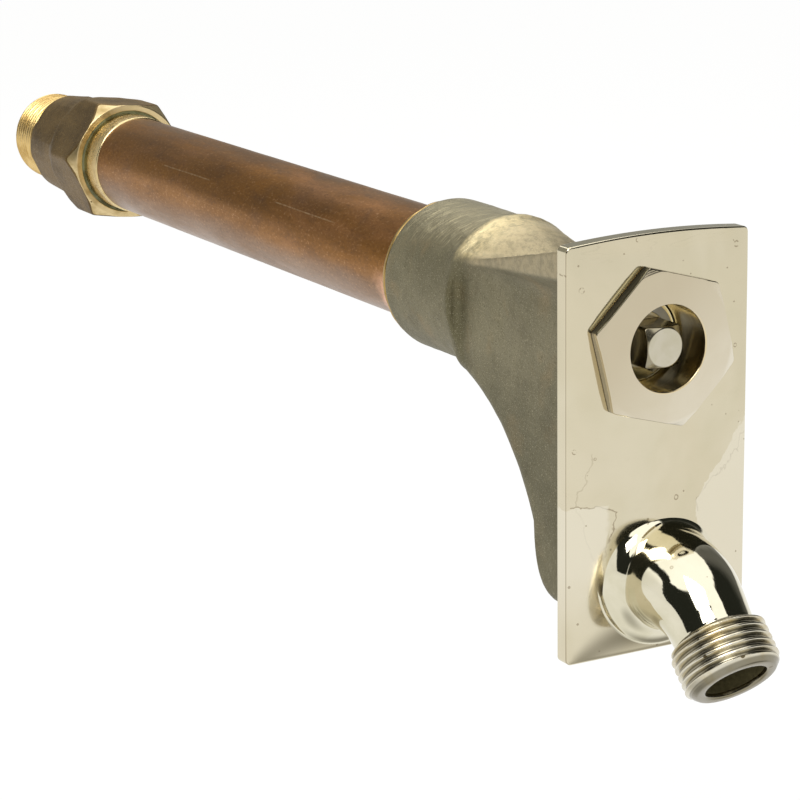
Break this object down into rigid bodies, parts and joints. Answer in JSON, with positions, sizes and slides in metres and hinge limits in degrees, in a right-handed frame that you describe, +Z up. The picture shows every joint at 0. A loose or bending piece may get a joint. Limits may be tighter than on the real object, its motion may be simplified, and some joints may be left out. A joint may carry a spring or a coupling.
{
  "type": "wall hydrant",
  "caption": "Long wall hydrant with a slightly bulging face plate, hexagon bonnet nut, square operating stem, angled hose spout, casing tube and threaded inlet.",
  "frame": {"origin": "on the stem's and casing's axis, in the plane of the face plate's back", "axes": "+X to the right as seen from outside, +Y into the wall along the casing, +Z up"},
  "size_m": [0.0572, 0.4797, 0.121],
  "materials": {
    "nickel_bronze": "polished plate and spout, rough cast body",
    "polished_nut": "polished",
    "stem_bronze": "machined",
    "yellow_brass": "machined",
    "bright_brass": "turned bright",
    "rough_bronze": "rough cast with turned chamfers",
    "copper": "tarnished copper",
    "steel": "plain stainless steel",
    "packing": "graphited packing",
    "black_rubber": "matt",
    "gasket": "matt fibre"
  },
  "bodies": {
    "hydrant": {"head_casting": "nickel_bronze", "bonnet_nut": "polished_nut", "bonnet_o_ring": "black_rubber", "packing_rings": "packing", "packing_gland": "yellow_brass", "thrust_washer": "yellow_brass", "coupling_guide": "yellow_brass", "guide_snap_ring": "steel", "casing_tube": "copper", "front_braze_ring": "yellow_brass", "tube_adapter": "bright_brass", "coupling_gasket": "gasket", "inlet_coupling": "rough_bronze", "valve_seat": "yellow_brass", "seat_o_ring": "black_rubber"},
    "stem": {"operating_stem": "stem_bronze", "stem_retaining_ring": "steel"},
    "rod": {"drive_nut": "yellow_brass", "operating_rod": "stem_bronze", "rod_pins": "steel", "rod_guides": "yellow_brass", "guide_pins": "steel", "plunger": "yellow_brass", "seat_washer": "black_rubber", "washer_retainer": "yellow_brass", "washer_screw": "yellow_brass"}
  },
  "joints": [
    {"name": "stem_turn", "type": "hinge", "parent": "hydrant", "child": "stem", "pos_m": [0, 0, 0], "axis": [0, -1, 0], "range_deg": [0, 1080]},
    {"name": "rod_slide", "type": "slide", "parent": "hydrant", "child": "rod", "axis": [0, -1, 0], "range_m": [0, 0.00953]}
  ],
  "couplings": [
    {"joint": "stem_turn", "follows": "rod_slide", "rad_per_m": 1979}
  ]
}
